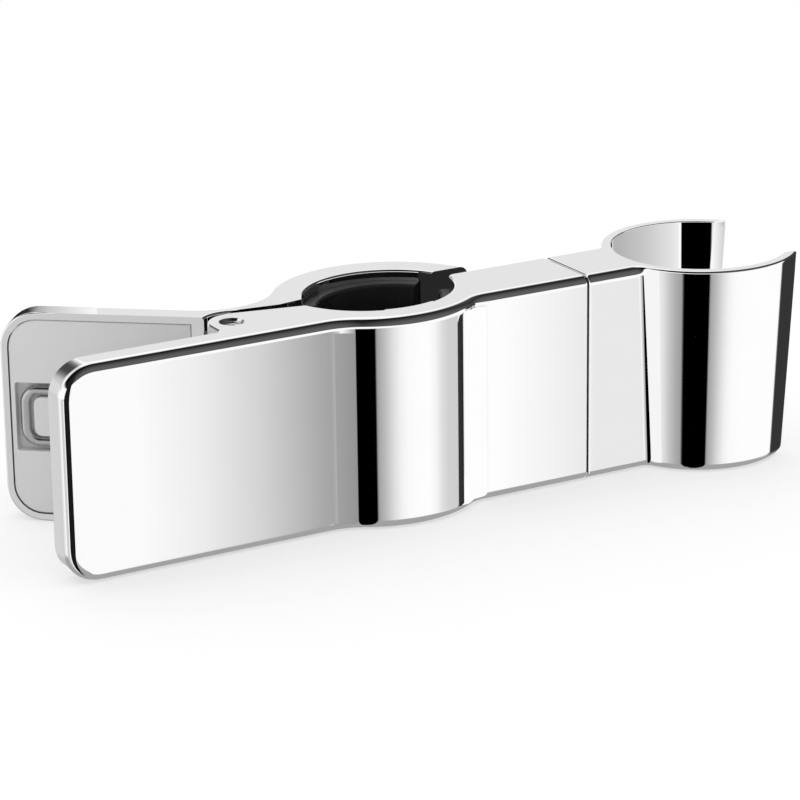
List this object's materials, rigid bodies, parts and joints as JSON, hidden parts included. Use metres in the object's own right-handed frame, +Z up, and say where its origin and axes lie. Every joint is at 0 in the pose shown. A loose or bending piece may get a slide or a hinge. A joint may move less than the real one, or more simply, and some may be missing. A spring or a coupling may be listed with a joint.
{
  "type": "hand shower holder",
  "caption": "Chromed spring clip for a shower rail: squeezed levers open rubber-lined jaws, and a tapered open cup for the hand shower turns on the clip's arm.",
  "frame": {"origin": "on the axis of the rail that the clip grips, at mid height", "axes": "+Z up along the rail, +X along the arm to the cup, +Y to the back jaw; shown with the jaws shut and no rail"},
  "size_m": [0.1214, 0.0427, 0.032],
  "materials": {
    "chrome": "mirror chrome plating on moulded plastic",
    "grey_inlay": "light grey moulded plastic, satin",
    "liner_rubber": "black rubber, matt",
    "spring_wire": "drawn spring steel wire",
    "pin_steel": "turned stainless steel",
    "insert_brass": "turned brass",
    "bush_plastic": "natural acetal"
  },
  "bodies": {
    "front": {"clamp_body": "chrome", "front_lever_panel": "grey_inlay", "front_jaw_liner": "liner_rubber", "hinge_pin": "pin_steel", "torsion_spring": "spring_wire", "threaded_insert": "insert_brass", "friction_disc": "bush_plastic", "swivel_screw": "pin_steel", "thrust_washer": "pin_steel", "disc_spring": "spring_wire", "swivel_stop_pin": "pin_steel"},
    "back": {"back_jaw": "chrome", "back_lever_panel": "grey_inlay", "back_jaw_liner": "liner_rubber"},
    "cup": {"holder_cup": "chrome", "swivel_bush": "bush_plastic", "screw_cap": "chrome"}
  },
  "joints": [
    {"name": "jaw_hinge", "type": "hinge", "parent": "front", "child": "back", "pos_m": [-0.0253, -0.006, 0], "axis": [0, 0, 1], "range_deg": [0, 30], "stiffness_Nm_per_rad": 1.34, "springref_deg": -21.2, "deforming": ["torsion_spring"]},
    {"name": "cup_swivel", "type": "hinge", "parent": "front", "child": "cup", "pos_m": [0.03005, -0.00775, 0], "axis": [1, 0, 0], "range_deg": [-40, 40]}
  ]
}
